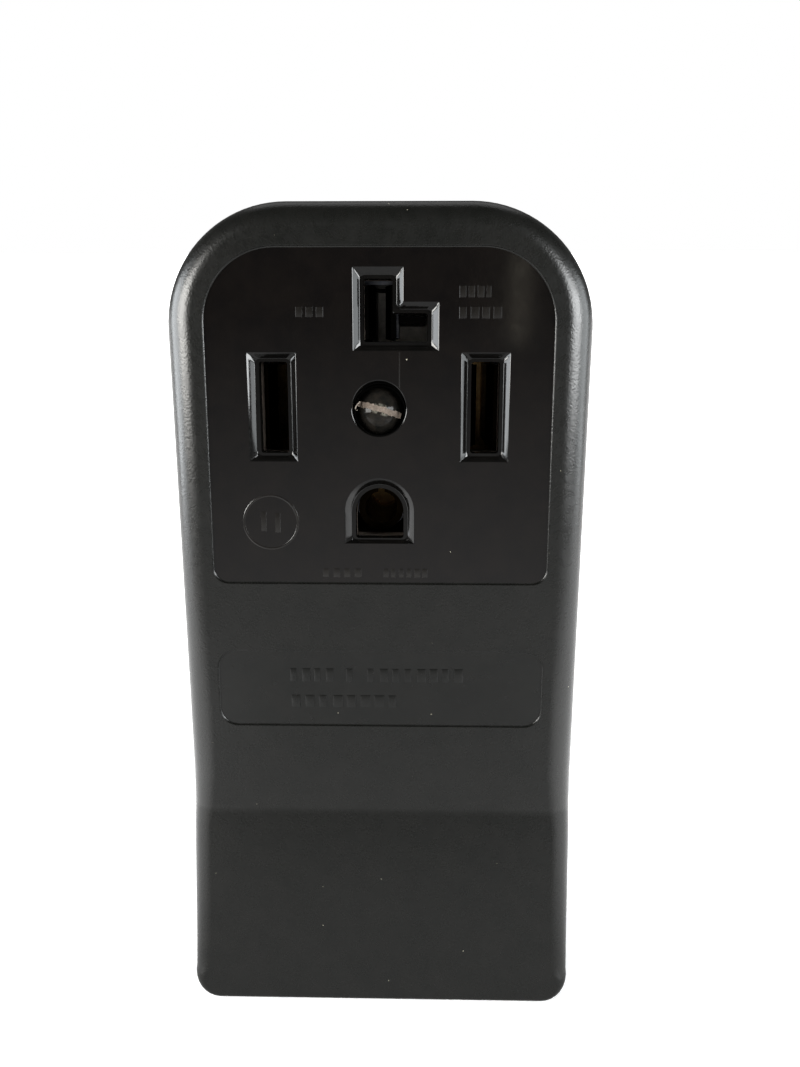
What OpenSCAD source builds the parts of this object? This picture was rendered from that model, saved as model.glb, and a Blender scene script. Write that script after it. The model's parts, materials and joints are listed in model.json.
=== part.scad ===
// Surface-mounted four-wire power outlet: a moulded cover over a contact block, on a wall plate.
// Millimetres. The wall is the plane y = 0 and the outlet faces -Y, with +Z up and +X to the right.
// The origin is on the wall plane, midway between the two wall-screw holes.

/* [Cover] */
// Width of the cover at its bottom end
bottom_width = 61.2; // [60.4:0.2:63]
// Width that the cover's tapering sides reach at its top end
top_width = 63.6; // [63:0.2:65]
// Height of the cover
cover_height = 123.5; // [123:0.5:126]
// Distance from the bottom end up to the crease in the front
crease_height = 31.2; // [30.6:0.2:32]
// Depth of the cover below the crease
low_depth = 36.6; // [36:0.2:38]
// Angle of the upper front face to the wall, in degrees
slant = 9.6; // [9:0.1:10]
// Radius of the two upper corners, seen from the front
top_corner_r = 18.4; // [16.4:0.2:18.8]
// Radius of the two lower corners, seen from the front
bottom_corner_r = 4.6; // [3.6:0.2:5]
// Radius of the front edges
edge_r = 4.6; // [3:0.2:5]
// Thickness of the side walls
wall = 2.6; // [2.2:0.1:2.8]
// Thickness of the front wall
face_wall = 3.2; // [2.8:0.1:3.4]

/* [Front panels] */
// Width of the glossy panel around the slots
panel_width = 50.6; // [48:0.2:52]
// Height of the glossy panel
panel_height = 49; // [48:0.5:50]
// Distance from the crease up the face to the bottom of the glossy panel
panel_start = 37.6; // [37.2:0.2:38]
// Radius of the glossy panel's upper corners
panel_top_r = 10.5; // [8:0.5:12]
// Radius of the glossy panel's lower corners
panel_bottom_r = 2.3; // [1:0.1:4]
// Width of the label panel
label_width = 50.3; // [40:0.1:52]
// Height of the label panel
label_height = 12.3; // [8:0.1:14]
// Distance from the crease up the face to the bottom of the label panel
label_start = 14.4; // [13:0.2:16]
// Radius of the label panel's corners
label_r = 2.8; // [1:0.1:4]
// Depth of both panels below the face
panel_recess = 0.4; // [0.2:0.1:0.6]

/* [Slots] */
// Distance between the centres of the two upright slots
hot_spacing = 31; // [30.8:0.1:31.2]
// Width of an upright slot
hot_width = 4.2; // [4.1:0.1:4.4]
// Height of an upright slot
hot_height = 13.2; // [13:0.1:13.6]
// Distance up the face from the crease to the middle of the upright slots
hot_centre = 64; // [63.8:0.1:64.4]
// Width of the L-shaped slot's two arms
elbow_arm = 4.2; // [4.1:0.1:4.4]
// Width of the rounded earth slot
earth_width = 7.1; // [7:0.1:7.4]
// Height of the rounded earth slot
earth_height = 7.6; // [7.5:0.1:8]
// Depth of the wider mouth around every slot
mouth_depth = 1.8; // [1:0.1:2]
// Width of the ledge between a slot and its mouth
mouth_ledge = 1.4; // [0.8:0.1:1.5]

/* [Cover screw] */
// Radius of the cover screw's head
cover_head_r = 3.6; // [3.2:0.1:3.7]
// Radius of the cover screw's shank
cover_shank_r = 2; // [1.8:0.05:2.05]
// Tilt of the driver slot in the cover screw, in degrees
driver_tilt = 16; // [0:1:90]

/* [Terminals] */
// Distance between neighbouring terminals
lug_pitch = 13.6; // [13.5:0.1:13.7]
// Width of a terminal
lug_width = 11; // [10.5:0.1:11.2]
// Height of a terminal
lug_height = 12; // [11:0.5:12]
// Radius of a terminal screw's shank
set_shank_r = 2.5; // [2.2:0.1:2.7]

/* [Wall plate] */
// Distance between the two wall-screw holes
wall_hole_spacing = 83.3; // [82.8:0.1:83.8]
// Radius of a wall-screw hole
wall_hole_r = 2.4; // [2:0.1:2.6]
// Thickness of the wall plate
plate = 3; // [2.6:0.1:3.2]
// Radius of the cable entry
entry_r = 11.1; // [10:0.1:11.2]
// Distance from the wall to the middle of the cable entry
entry_depth = 17; // [16.6:0.1:17.4]

/* [Hidden] */
$fn = 64;

// Frame of the whole part
base_z = -72;
top_z = base_z + cover_height;
crease_z = base_z + crease_height;
full_depth = low_depth + (cover_height - crease_height) * tan(slant);
side_tilt = atan((top_width - bottom_width) / 2 / cover_height);
cut = 0.5;
far = 200;

// Fits and gaps
slip = 0.25;
deck_gap = 0.8;
hair = 0.05;
screw_clearance = 0.08;

// Layers below the slanted face, each a depth measured square to it
block_front = -(face_wall + 0.5);
pocket_front = block_front - 2.5;
strap_front = -25.3;
strap_back = -26.5;
deck_back = -31.5;
lug_front = -13.8;
lug_roof = -16.8;
lug_back = -28.5;
block_low = 36;
block_high = 84.6;
block_half = 24;
deck_low = 12;
deck_low_half = 27.4;
lug_low = 14;
lug_middle = lug_low + lug_height / 2;

// Slots, in face coordinates: x across and y up the face from the crease
elbow_left = -2.2;
elbow_right = 7;
elbow_low = 73.4;
elbow_high = 82.2;
earth_low = 44.4;
earth_middle = earth_low + earth_height / 2;

// Contacts
leaf = 1;
blade_gap = 1;
strap_half = 2.6;
elbow_jaw_x = elbow_left + elbow_arm / 2;
neutral_strap_x = 7.9;
strap_gap = 0.15;
strap_tail = lug_low + 0.6;
jaw_half_height = 6.2;
jaw_room_x = 4.6;
jaw_room_y = 8.7;
clip_sheet = 0.6;
clip_middle = -20;
clip_width = 8;
tube_r = 3.5;
tube_front = -7;

// Terminals
lug_slack = 0.3;
barrier = 1.4;
wire_half = 3.8;
pad_half_x = 3.4;
pad_half_y = 4.5;
pad_sheet = 1.2;
set_head_r = 3.6;
set_head_low = lug_front + 4.8;
set_head_high = 2.6;
set_slot = 1.1;

// Wall plate details
post_r = 4;
post_reach = 30;
boss_base_r = 5;
boss_high = 1.4;
rim_high = 2.6;
rim_sheet = 1.6;
entry_wall_half = 16;
entry_wall_reach = 31;
saddle_half = 9;
saddle_reach = 12;

// Cover screw
screw_up_face = 64;
screw_z = crease_z + screw_up_face * cos(slant);
face_y = -low_depth - (screw_z - crease_z) * tan(slant);
seat_y = face_y + 3.4;
boss_y = seat_y + 2.4;
insert_y = boss_y + 1.3;
insert_length = 9.2;
boss_r = 5.4;
cover_head_high = 2.9;
cover_screw_reach = 10.5;
head_gap = 0.35;
shank_gap = 0.4;
retainer_r = 3.4;
retainer_sheet = 0.6;
insert_r = 3.2;
notch_r = entry_r + 1.1;

// Assembly screws
assembly_x = 20.8;
assembly_low_z = 1.6;
assembly_high_z = 41.1;
assembly_r = 1.6;
assembly_gap = 0.25;
assembly_head_r = 3.1;
assembly_head_high = 2.2;
counterbore_r = 3.5;
counterbore_deep = 8.5;
screw_tip_y = -1.6;

// Cable clamp
clamp_x = 19;
clamp_z = -55;
clamp_boss_y = -9;
strap_sheet = 2;
saddle_r = 9.2;
clamp_shank_r = 2;
clamp_head_r = 3.9;
clamp_head_high = 2.6;
clamp_half_width = 5;
clamp_foot = 15;

// Moulded pockets in the back of the wall plate, with ribs between them
pocket_deep = 1.2;
pocket_rim = 2.4;
rib_width = 2;
rib_x = 15;
rib_pitch = 20;

// ---- Shapes shared by the parts ----

// Points on an arc around [x, y], from angle a0 to angle a1
function arc(x, y, r, a0, a1, steps) =
    [for (i = [0:steps]) let (a = a0 + (a1 - a0) * i / steps) [x + r * cos(a), y + r * sin(a)]];

// Half width of the outline at a height z
function half_width(z, inset) =
    bottom_width / 2 + (z - base_z) * tan(side_tilt) - inset / cos(side_tilt);

// Front outline of the cover, pulled in all round by inset
function outline(inset) =
    let (
        top_r = top_corner_r - inset,
        low_r = max(bottom_corner_r - inset, 0.6),
        top_c = top_z - inset - top_r,
        low_c = base_z + inset + low_r,
        top_x = half_width(top_c, inset) - top_r / cos(side_tilt),
        low_x = half_width(low_c, inset) - low_r / cos(side_tilt)
    )
    concat(
        arc(top_x, top_c, top_r, -side_tilt, 90, 10),
        arc(-top_x, top_c, top_r, 90, 180 + side_tilt, 10),
        arc(-low_x, low_c, low_r, 180 + side_tilt, 270, 5),
        arc(low_x, low_c, low_r, -90, -side_tilt, 5)
    );

// Moves into face coordinates: x across, y up the face from the crease, z out of the face
module on_face() {
    translate([0, -low_depth, crease_z]) rotate([90 + slant, 0, 0]) children();
}

// A block in face coordinates, from its lowest to its highest corner
module face_box(low, high) {
    on_face() translate(low) cube(high - low);
}

// A flat outline in face coordinates, solid from depth z0 up to z1
module face_plate(points, z0, z1) {
    on_face() translate([0, 0, z0]) linear_extrude(z1 - z0) polygon(points);
}

// A round rod along Y, from y0 to y1
module rod_y(x, z, r, y0, y1) {
    translate([x, y1, z]) rotate([90, 0, 0]) cylinder(r = r, h = y1 - y0);
}

// A round rod square to the face, from depth z0 up to z1
module face_rod(x, up, r, z0, z1) {
    on_face() translate([x, up, z0]) cylinder(r = r, h = z1 - z0);
}

// Keeps what is clear of the cover's walls
module within_cover() {
    intersection() {
        rotate([90, 0, 0]) linear_extrude(full_depth) polygon(outline(wall + deck_gap));
        children();
    }
}

// Everything behind the plane that lies at a depth below the slanted face
module behind_face(depth) {
    on_face() translate([-far, -far, depth - far]) cube([2 * far, 2 * far, far]);
}

// Outline of a rectangle with its own radius for the upper and lower corners
function round_rectangle(width, low, high, top_r, low_r) =
    concat(
        arc(width / 2 - top_r, high - top_r, top_r, 0, 90, 6),
        arc(-width / 2 + top_r, high - top_r, top_r, 90, 180, 6),
        arc(-width / 2 + low_r, low + low_r, low_r, 180, 270, 4),
        arc(width / 2 - low_r, low + low_r, low_r, 270, 360, 4)
    );

// Outline of an upright slot
function hot_outline(x, grow) =
    let (half = hot_width / 2 + grow, tall = hot_height / 2 + grow)
    [[x - half, hot_centre - tall], [x + half, hot_centre - tall],
     [x + half, hot_centre + tall], [x - half, hot_centre + tall]];

// Outline of the L-shaped slot
function elbow_outline(grow) =
    let (arm_x = elbow_left + elbow_arm + grow, arm_y = elbow_low + elbow_arm + grow)
    [[elbow_left - grow, elbow_low - grow], [elbow_right + grow, elbow_low - grow],
     [elbow_right + grow, arm_y], [arm_x, arm_y],
     [arm_x, elbow_high + grow], [elbow_left - grow, elbow_high + grow]];

// Outline of the earth slot: flat below and round above
function earth_outline(grow) =
    let (r = earth_width / 2 + grow, shoulder = earth_low + earth_height + grow - r)
    concat([[-r, earth_low - grow / 2], [r, earth_low - grow / 2]], arc(0, shoulder, r, 0, 180, 16));

// All four slots, from depth z0 up to z1
module slots(grow, z0, z1) {
    for (side = [-1, 1]) face_plate(hot_outline(side * hot_spacing / 2, grow), z0, z1);
    face_plate(elbow_outline(grow), z0, z1);
    face_plate(earth_outline(grow), z0, z1);
}

// ---- Cover ----

// Side outline of the cover, as [y, z] points, with the front pulled back by inset
function side_outline(inset, top_r) =
    let (
        face = low_depth - inset / cos(slant),
        bend_z = crease_z + inset * tan(slant / 2),
        round_z = top_z - top_r,
        round_y = -face - (round_z - crease_z) * tan(slant) + top_r * cos(slant)
    )
    concat(
        [[cut, base_z - cut], [-low_depth + inset, base_z - cut], [-low_depth + inset, bend_z]],
        arc(round_y, round_z, top_r, 180 + slant, 90, 8),
        [[cut, top_z]]
    );

// Everything between the wall and the front, inside the outline
module shell_shape(inset, front_inset, top_r) {
    intersection() {
        translate([0, cut, 0]) rotate([90, 0, 0])
            linear_extrude(full_depth + 2 * cut) polygon(outline(inset));
        rotate([90, 0, 90]) translate([0, 0, -top_width])
            linear_extrude(2 * top_width) polygon(side_outline(front_inset, top_r));
    }
}

// A long bar with rounded side edges, its front tilted by tilt and passing through the crease
module rounded_bar(tilt) {
    half = half_width(top_z, -0.6);
    translate([0, -low_depth, crease_z]) rotate([180 + tilt, 0, 0])
        linear_extrude(2 * far, center = true) polygon(concat(
            [[-half, -2 * full_depth], [half, -2 * full_depth]],
            arc(half - edge_r, -edge_r, edge_r, 0, 90, 8),
            arc(edge_r - half, -edge_r, edge_r, 90, 180, 8)
        ));
}

module cover_body() {
    intersection() {
        shell_shape(0, 0, edge_r);
        union() {
            rounded_bar(0);
            rounded_bar(slant);
        }
        translate([-far, -far, -far]) cube([2 * far, far, 2 * far]);
    }
}

module cover() {
    color("#2b2b29") difference() {
        union() {
            difference() {
                cover_body();
                shell_shape(wall, face_wall, edge_r);
            }
            intersection() {
                rod_y(0, screw_z, boss_r, face_y - 2, boss_y);
                behind_face(-1);
            }
        }
        face_plate(round_rectangle(panel_width, panel_start, panel_start + panel_height,
            panel_top_r, panel_bottom_r), -panel_recess, 5);
        face_plate(round_rectangle(label_width, label_start, label_start + label_height,
            label_r, label_r), -panel_recess, 5);
        slots(mouth_ledge, -mouth_depth, 5);
        slots(0, -face_wall - 2, 5);
        rod_y(0, screw_z, cover_head_r + head_gap, face_y - 5, seat_y);
        rod_y(0, screw_z, cover_shank_r + shank_gap, face_y - 5, boss_y + 1);
        // Mouth for the cable in the bottom wall, open towards the wall
        translate([0, 0, base_z - cut]) linear_extrude(wall + 2 * cut) union() {
            translate([0, -entry_depth]) circle(r = notch_r);
            translate([-notch_r, -entry_depth]) square([2 * notch_r, entry_depth + cut]);
        }
    }
}

// A round-headed screw along Y with a driver slot, its head standing out towards -Y from the seat
module slotted_screw(x, z, head_r, head_high, shank_r, seat, tip, tilt) {
    dome_r = (head_r * head_r + head_high * head_high) / (2 * head_high);
    slot_wide = 0.22 * head_r;
    difference() {
        union() {
            rod_y(x, z, shank_r, seat - hair, tip);
            intersection() {
                translate([x, seat - head_high + dome_r, z]) sphere(r = dome_r);
                rod_y(x, z, head_r, seat - head_high - 1, seat);
            }
        }
        translate([x, seat - head_high, z]) rotate([0, tilt, 0])
            cube([2 * head_r + 1, head_high, slot_wide], center = true);
    }
}

module cover_screw() {
    color("#6b6058") slotted_screw(0, screw_z, cover_head_r, cover_head_high, cover_shank_r,
        seat_y, seat_y + cover_screw_reach, driver_tilt);
}

module screw_retainer() {
    color("#3a3a3a") difference() {
        rod_y(0, screw_z, retainer_r, boss_y + 0.1, boss_y + 0.1 + retainer_sheet);
        rod_y(0, screw_z, cover_shank_r, boss_y - 1, boss_y + 2);
    }
}

module screw_insert() {
    color("#b08d4a") difference() {
        rod_y(0, screw_z, insert_r, insert_y, insert_y + insert_length);
        rod_y(0, screw_z, cover_shank_r + screw_clearance, insert_y - 1, insert_y + insert_length + 1);
    }
}

// ---- Wall plate ----

module clamp_boss(side) {
    rod_y(side * clamp_x, clamp_z, boss_base_r, clamp_boss_y, -1);
}

// Pockets in the back, clear of every boss, post and screw hole
module back_pockets() {
    difference() {
        translate([0, cut, 0]) rotate([90, 0, 0])
            linear_extrude(pocket_deep + cut) polygon(outline(wall + slip + pocket_rim));
        for (side = [-1, 1]) {
            translate([side * rib_x - rib_width / 2, -plate, base_z]) cube([rib_width, far, 2 * far]);
            rod_y(0, side * wall_hole_spacing / 2, boss_base_r + 1, -plate, 1);
            rod_y(side * assembly_x, assembly_low_z, post_r, -plate, 1);
            rod_y(side * assembly_x, assembly_high_z, post_r, -plate, 1);
            rod_y(side * clamp_x, clamp_z, boss_base_r, -plate, 1);
        }
        for (i = [-3:2])
            translate([-far, -plate, rib_pitch * i - rib_width / 2]) cube([2 * far, far, rib_width]);
    }
}

module base_plate() {
    fit = wall + slip;
    color("#3b3936") difference() {
        union() {
            rotate([90, 0, 0]) linear_extrude(plate) polygon(outline(fit));
            // Rim that the cover slides over
            rotate([90, 0, 0]) linear_extrude(plate + rim_high) difference() {
                polygon(outline(fit));
                polygon(outline(fit + rim_sheet));
            }
            // Posts that carry the deck
            intersection() {
                union() {
                    for (side = [-1, 1]) {
                        rod_y(side * assembly_x, assembly_low_z, post_r, -post_reach, -1);
                        rod_y(side * assembly_x, assembly_high_z, post_r, -post_reach, -1);
                    }
                }
                behind_face(deck_back);
            }
            // Cable entry wall
            translate([-entry_wall_half, -entry_wall_reach, base_z + fit])
                cube([2 * entry_wall_half, entry_wall_reach - 1, plate]);
            // Clamp bosses and the saddle between them
            for (side = [-1, 1]) clamp_boss(side);
            difference() {
                translate([-saddle_half, -saddle_reach, clamp_z - clamp_half_width])
                    cube([2 * saddle_half, saddle_reach - 1, 2 * clamp_half_width]);
                translate([0, -entry_depth, clamp_z - far]) cylinder(r = saddle_r, h = 2 * far);
            }
            // Bosses around the wall-screw holes
            for (side = [-1, 1]) rod_y(0, side * wall_hole_spacing / 2, boss_base_r, -plate - boss_high, -1);
        }
        back_pockets();
        translate([0, -entry_depth, base_z]) cylinder(r = entry_r, h = 10);
        for (side = [-1, 1]) {
            rod_y(0, side * wall_hole_spacing / 2, wall_hole_r, -10, 1);
            rod_y(side * clamp_x, clamp_z, clamp_shank_r + screw_clearance, clamp_boss_y - 1, -1.2);
            rod_y(side * assembly_x, assembly_low_z, assembly_r, -post_reach, -1.5);
            rod_y(side * assembly_x, assembly_high_z, assembly_r, -post_reach, -1.5);
        }
    }
}

// ---- Terminal deck and contact block ----

module assembly_holes(r, y0, y1) {
    for (side = [-1, 1]) {
        rod_y(side * assembly_x, assembly_low_z, r, y0, y1);
        rod_y(side * assembly_x, assembly_high_z, r, y0, y1);
    }
}

module straps(grow, z0, z1) {
    face_plate(hot_strap(-1, grow), z0, z1);
    face_plate(hot_strap(1, grow), z0, z1);
    face_plate(neutral_strap(grow), z0, z1);
    face_plate(earth_strap(grow), z0, z1);
}

module terminal_deck() {
    outer_x = deck_low_half - barrier / 2;
    color("#44403a") within_cover() difference() {
        union() {
            face_box([-block_half, block_low, deck_back], [block_half, block_high, strap_front]);
            face_box([-deck_low_half, deck_low, deck_back], [deck_low_half, block_low, strap_front]);
            for (x = [-outer_x, -lug_pitch, 0, lug_pitch, outer_x])
                face_box([x - barrier / 2, deck_low, deck_back],
                    [x + barrier / 2, lug_low + lug_height, lug_front]);
        }
        straps(strap_gap, strap_back - hair, 0);
        for (i = [0:3])
            face_box([lug_x(i) - lug_width / 2 - lug_slack, deck_low - 1, lug_back - 0.1],
                [lug_x(i) + lug_width / 2 + lug_slack, lug_low + lug_height + lug_slack, 0]);
        assembly_holes(assembly_r + assembly_gap, -far, 0);
    }
}

module contact_block() {
    elbow_pocket = [[elbow_left - 2, elbow_low - 1.7], [elbow_right + 1.6, elbow_low - 1.7],
        [elbow_right + 1.6, elbow_high + 0.9], [elbow_left - 2, elbow_high + 0.9]];
    color("#4a453e") within_cover() difference() {
        face_box([-block_half, block_low, strap_front], [block_half, block_high, block_front]);
        slots(0.1, pocket_front - 1, 1);
        for (side = [-1, 1])
            face_box([side * hot_spacing / 2 - jaw_room_x, hot_centre - jaw_room_y, strap_front - 1],
                [side * hot_spacing / 2 + jaw_room_x, hot_centre + jaw_room_y, pocket_front]);
        face_plate(elbow_pocket, strap_front - 1, pocket_front);
        face_box([-5, earth_low - 1.4, strap_front - 1], [5, earth_low + earth_height + 1, pocket_front]);
        rod_y(0, screw_z, boss_r + 0.4, face_y - 1, insert_y);
        rod_y(0, screw_z, insert_r + hair, face_y, insert_y + insert_length + 2);
        assembly_holes(assembly_r + assembly_gap, -far, 0);
        assembly_heads(counterbore_r);
    }
}

// Depth of the seat under the head of a long screw at a height z
function assembly_seat(z) = -low_depth - (z - crease_z) * tan(slant) + counterbore_deep;

// Counterbores, or heads, of the four long screws
module assembly_heads(r) {
    for (side = [-1, 1]) {
        rod_y(side * assembly_x, assembly_low_z, r, -far, assembly_seat(assembly_low_z));
        rod_y(side * assembly_x, assembly_high_z, r, -far, assembly_seat(assembly_high_z));
    }
}

module assembly_screws() {
    color("#9a9a96") for (side = [-1, 1], z = [assembly_low_z, assembly_high_z])
        slotted_screw(side * assembly_x, z, assembly_head_r, assembly_head_high, assembly_r - hair,
            assembly_seat(z), screw_tip_y, 35 * side + z);
}

// ---- Contacts, each one strip of sheet with its jaws folded up ----

function lug_x(i) = (i - 1.5) * lug_pitch;

// Strip from an upright slot's jaws down to its terminal
function hot_strap(side, grow) =
    let (x = side * hot_spacing / 2, tail = side * lug_pitch * 1.5, half = strap_half + grow)
    [[x - half, hot_centre + 6.4 + grow], [x - half, block_low - 1],
     [tail - half, block_low - 6], [tail - half, strap_tail - grow],
     [tail + half, strap_tail - grow], [tail + half, block_low - 6],
     [x + half, block_low - 1], [x + half, hot_centre + 6.4 + grow]];

function neutral_strap(grow) =
    let (tail = lug_pitch / 2, half = strap_half + grow, x = neutral_strap_x)
    [[elbow_left - grow, elbow_high - 0.3 + grow], [elbow_left - grow, elbow_low + 0.3 - grow],
     [x - half, elbow_low + 0.3 - grow], [x - half, block_low - 1],
     [tail - half, block_low - 6], [tail - half, strap_tail - grow],
     [tail + half, strap_tail - grow], [tail + half, block_low - 6],
     [x + half, block_low - 1], [x + half, elbow_high - 0.3 + grow]];

function earth_strap(grow) =
    let (tail = -lug_pitch / 2, half = strap_half + grow)
    [[-4.2 - grow, earth_middle + 3.8 + grow], [-4.2 - grow, block_low + 6],
     [tail - half, block_low - 2], [tail - half, strap_tail - grow],
     [tail + half, strap_tail - grow], [tail + half, block_low - 6],
     [4.2 + grow, block_low + 2], [4.2 + grow, earth_middle + 3.8 + grow]];

// Two leaves that grip a blade, flared towards the face
module jaw_pair(x, low, high) {
    leaf_line = [[blade_gap, strap_front - hair], [blade_gap, -11], [0.75, -10], [1.7, -6.8],
        [2.5, -6.8], [1.75, -10.2], [blade_gap + leaf, -11], [blade_gap + leaf, strap_front - hair]];
    for (side = [0, 1])
        on_face() translate([x, high, 0]) mirror([side, 0, 0])
            rotate([90, 0, 0]) linear_extrude(high - low) polygon(leaf_line);
}

module hot_contact(side) {
    color("#b98f45") union() {
        face_plate(hot_strap(side, 0), strap_back, strap_front);
        jaw_pair(side * hot_spacing / 2, hot_centre - jaw_half_height,
            hot_centre + jaw_half_height);
    }
}

module contact_hot_left() {
    hot_contact(-1);
}

module contact_hot_right() {
    hot_contact(1);
}

module contact_neutral() {
    color("#c9c5bc") union() {
        face_plate(neutral_strap(0), strap_back, strap_front);
        jaw_pair(elbow_jaw_x, elbow_low + 0.6, elbow_high - 0.4);
        face_box([2.7, elbow_low + 2.9, strap_front - hair], [elbow_right - 0.2, elbow_low + 3.9, -8]);
    }
}

module contact_earth() {
    color("#b98f45") union() {
        face_plate(earth_strap(0), strap_back, strap_front);
        difference() {
            face_rod(0, earth_middle, tube_r, strap_front - hair, tube_front);
            face_rod(0, earth_middle, tube_r - leaf, strap_front, tube_front + 1);
            face_box([-0.5, earth_middle, strap_front], [0.5, earth_middle + 6, tube_front + 1]);
        }
    }
}

// Steel clip that presses a pair of leaves together
module clip(x, low, high) {
    inner = blade_gap + leaf + 0.1;
    outer = inner + clip_sheet;
    color("#8f9296") on_face() translate([x, 0, clip_middle]) linear_extrude(clip_width) polygon([
        [-outer, low], [-inner, low], [-inner, high - clip_sheet], [inner, high - clip_sheet],
        [inner, low], [outer, low], [outer, high], [-outer, high]]);
}

module spring_hot_left() {
    clip(-hot_spacing / 2, hot_centre - 6, hot_centre + 7.2);
}

module spring_hot_right() {
    clip(hot_spacing / 2, hot_centre - 6, hot_centre + 7.2);
}

module spring_neutral() {
    clip(elbow_jaw_x, elbow_low + 0.8, elbow_high + 0.6);
}

module spring_earth() {
    color("#8f9296") difference() {
        face_rod(0, earth_middle, tube_r + 0.1 + clip_sheet, -19, -12);
        face_rod(0, earth_middle, tube_r + 0.1, -20, -11);
        face_box([-0.8, earth_middle, -20], [0.8, earth_middle + 6, -11]);
    }
}

// ---- Terminals ----

module lug(i) {
    color("#b9bcc0") difference() {
        face_box([lug_x(i) - lug_width / 2, lug_low, lug_back],
            [lug_x(i) + lug_width / 2, lug_low + lug_height, lug_front]);
        face_box([lug_x(i) - wire_half, lug_low - 1, strap_back - 0.02],
            [lug_x(i) + wire_half, lug_low + lug_height + 1, lug_roof]);
        face_rod(lug_x(i), lug_middle, set_shank_r + screw_clearance, lug_roof - 1, lug_front + 1);
    }
}

module pad(i) {
    color("#8d9094") face_box([lug_x(i) - pad_half_x, lug_middle - pad_half_y, lug_roof - 0.3 - pad_sheet],
        [lug_x(i) + pad_half_x, lug_middle + pad_half_y, lug_roof - 0.3]);
}

module set_screw(i, tint) {
    color(tint) difference() {
        union() {
            face_rod(lug_x(i), lug_middle, set_shank_r, lug_roof - 0.25, set_head_low + hair);
            face_rod(lug_x(i), lug_middle, set_head_r, set_head_low, set_head_low + set_head_high);
        }
        on_face() translate([lug_x(i), lug_middle, set_head_low + set_head_high])
            rotate([0, 0, 25 + 40 * i]) cube([2 * set_head_r + 1, set_slot, 2.4], center = true);
    }
}

module lug_hot_left() {
    lug(0);
}

module lug_earth() {
    lug(1);
}

module lug_neutral() {
    lug(2);
}

module lug_hot_right() {
    lug(3);
}

module pad_hot_left() {
    pad(0);
}

module pad_earth() {
    pad(1);
}

module pad_neutral() {
    pad(2);
}

module pad_hot_right() {
    pad(3);
}

module set_screw_hot_left() {
    set_screw(0, "#b98f45");
}

module set_screw_earth() {
    set_screw(1, "#3f6b45");
}

module set_screw_neutral() {
    set_screw(2, "#c9c5bc");
}

module set_screw_hot_right() {
    set_screw(3, "#b98f45");
}

// ---- Cable clamp ----

module clamp_strap() {
    foot_y = clamp_boss_y - 0.05;
    outer = saddle_r + strap_sheet;
    color("#a7a9a8") difference() {
        translate([0, 0, clamp_z - clamp_half_width]) linear_extrude(2 * clamp_half_width) union() {
            for (side = [0, 1]) mirror([side, 0]) {
                translate([saddle_r, -entry_depth]) square([strap_sheet, entry_depth + foot_y]);
                translate([saddle_r, foot_y - strap_sheet]) square([clamp_foot, strap_sheet]);
            }
            intersection() {
                difference() {
                    translate([0, -entry_depth]) circle(r = outer);
                    translate([0, -entry_depth]) circle(r = saddle_r);
                }
                translate([-outer - 1, -entry_depth - outer - 1]) square([2 * outer + 2, outer + 1]);
            }
        }
        for (side = [-1, 1]) rod_y(side * clamp_x, clamp_z, clamp_shank_r + 0.3, -20, 0);
    }
}

module clamp_screw(side) {
    seat = clamp_boss_y - strap_sheet - 0.1;
    color("#a7a9a8") slotted_screw(side * clamp_x, clamp_z, clamp_head_r, clamp_head_high, clamp_shank_r,
        seat, screw_tip_y, 55 * side);
}

module clamp_screw_left() {
    clamp_screw(-1);
}

module clamp_screw_right() {
    clamp_screw(1);
}

base_plate();
terminal_deck();
contact_block();
cover();
cover_screw();
screw_retainer();
screw_insert();
assembly_screws();
contact_hot_left();
contact_hot_right();
contact_neutral();
contact_earth();
spring_hot_left();
spring_hot_right();
spring_neutral();
spring_earth();
lug_hot_left();
lug_earth();
lug_neutral();
lug_hot_right();
pad_hot_left();
pad_earth();
pad_neutral();
pad_hot_right();
set_screw_hot_left();
set_screw_earth();
set_screw_neutral();
set_screw_hot_right();
clamp_strap();
clamp_screw_left();
clamp_screw_right();
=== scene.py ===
import json
import math
import random

import bmesh
import bpy
from mathutils import Matrix, Vector
from mathutils.geometry import delaunay_2d_cdt


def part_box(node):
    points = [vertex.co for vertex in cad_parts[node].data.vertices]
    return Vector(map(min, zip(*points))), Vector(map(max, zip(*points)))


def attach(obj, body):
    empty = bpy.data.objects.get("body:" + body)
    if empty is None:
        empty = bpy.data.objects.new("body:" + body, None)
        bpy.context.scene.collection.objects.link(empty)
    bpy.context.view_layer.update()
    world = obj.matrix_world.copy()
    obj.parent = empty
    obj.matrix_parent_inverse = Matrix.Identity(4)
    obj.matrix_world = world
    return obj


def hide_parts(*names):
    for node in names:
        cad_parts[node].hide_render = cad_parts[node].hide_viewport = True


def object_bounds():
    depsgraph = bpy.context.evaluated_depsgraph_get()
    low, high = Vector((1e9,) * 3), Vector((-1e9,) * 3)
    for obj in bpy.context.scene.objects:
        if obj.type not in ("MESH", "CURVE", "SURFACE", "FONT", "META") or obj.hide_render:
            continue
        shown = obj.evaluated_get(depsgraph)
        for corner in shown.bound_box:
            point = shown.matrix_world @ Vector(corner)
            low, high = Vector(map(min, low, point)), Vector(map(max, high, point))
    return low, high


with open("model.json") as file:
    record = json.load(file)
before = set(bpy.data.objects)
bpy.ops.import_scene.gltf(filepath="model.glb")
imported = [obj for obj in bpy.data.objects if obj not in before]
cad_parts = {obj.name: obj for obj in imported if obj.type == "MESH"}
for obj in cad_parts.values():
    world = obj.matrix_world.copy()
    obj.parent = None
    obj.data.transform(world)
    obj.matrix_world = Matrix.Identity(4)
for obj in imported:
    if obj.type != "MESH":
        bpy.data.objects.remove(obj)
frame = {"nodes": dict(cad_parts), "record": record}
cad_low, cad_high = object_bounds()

MM = 0.001
random.seed(5)

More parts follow.
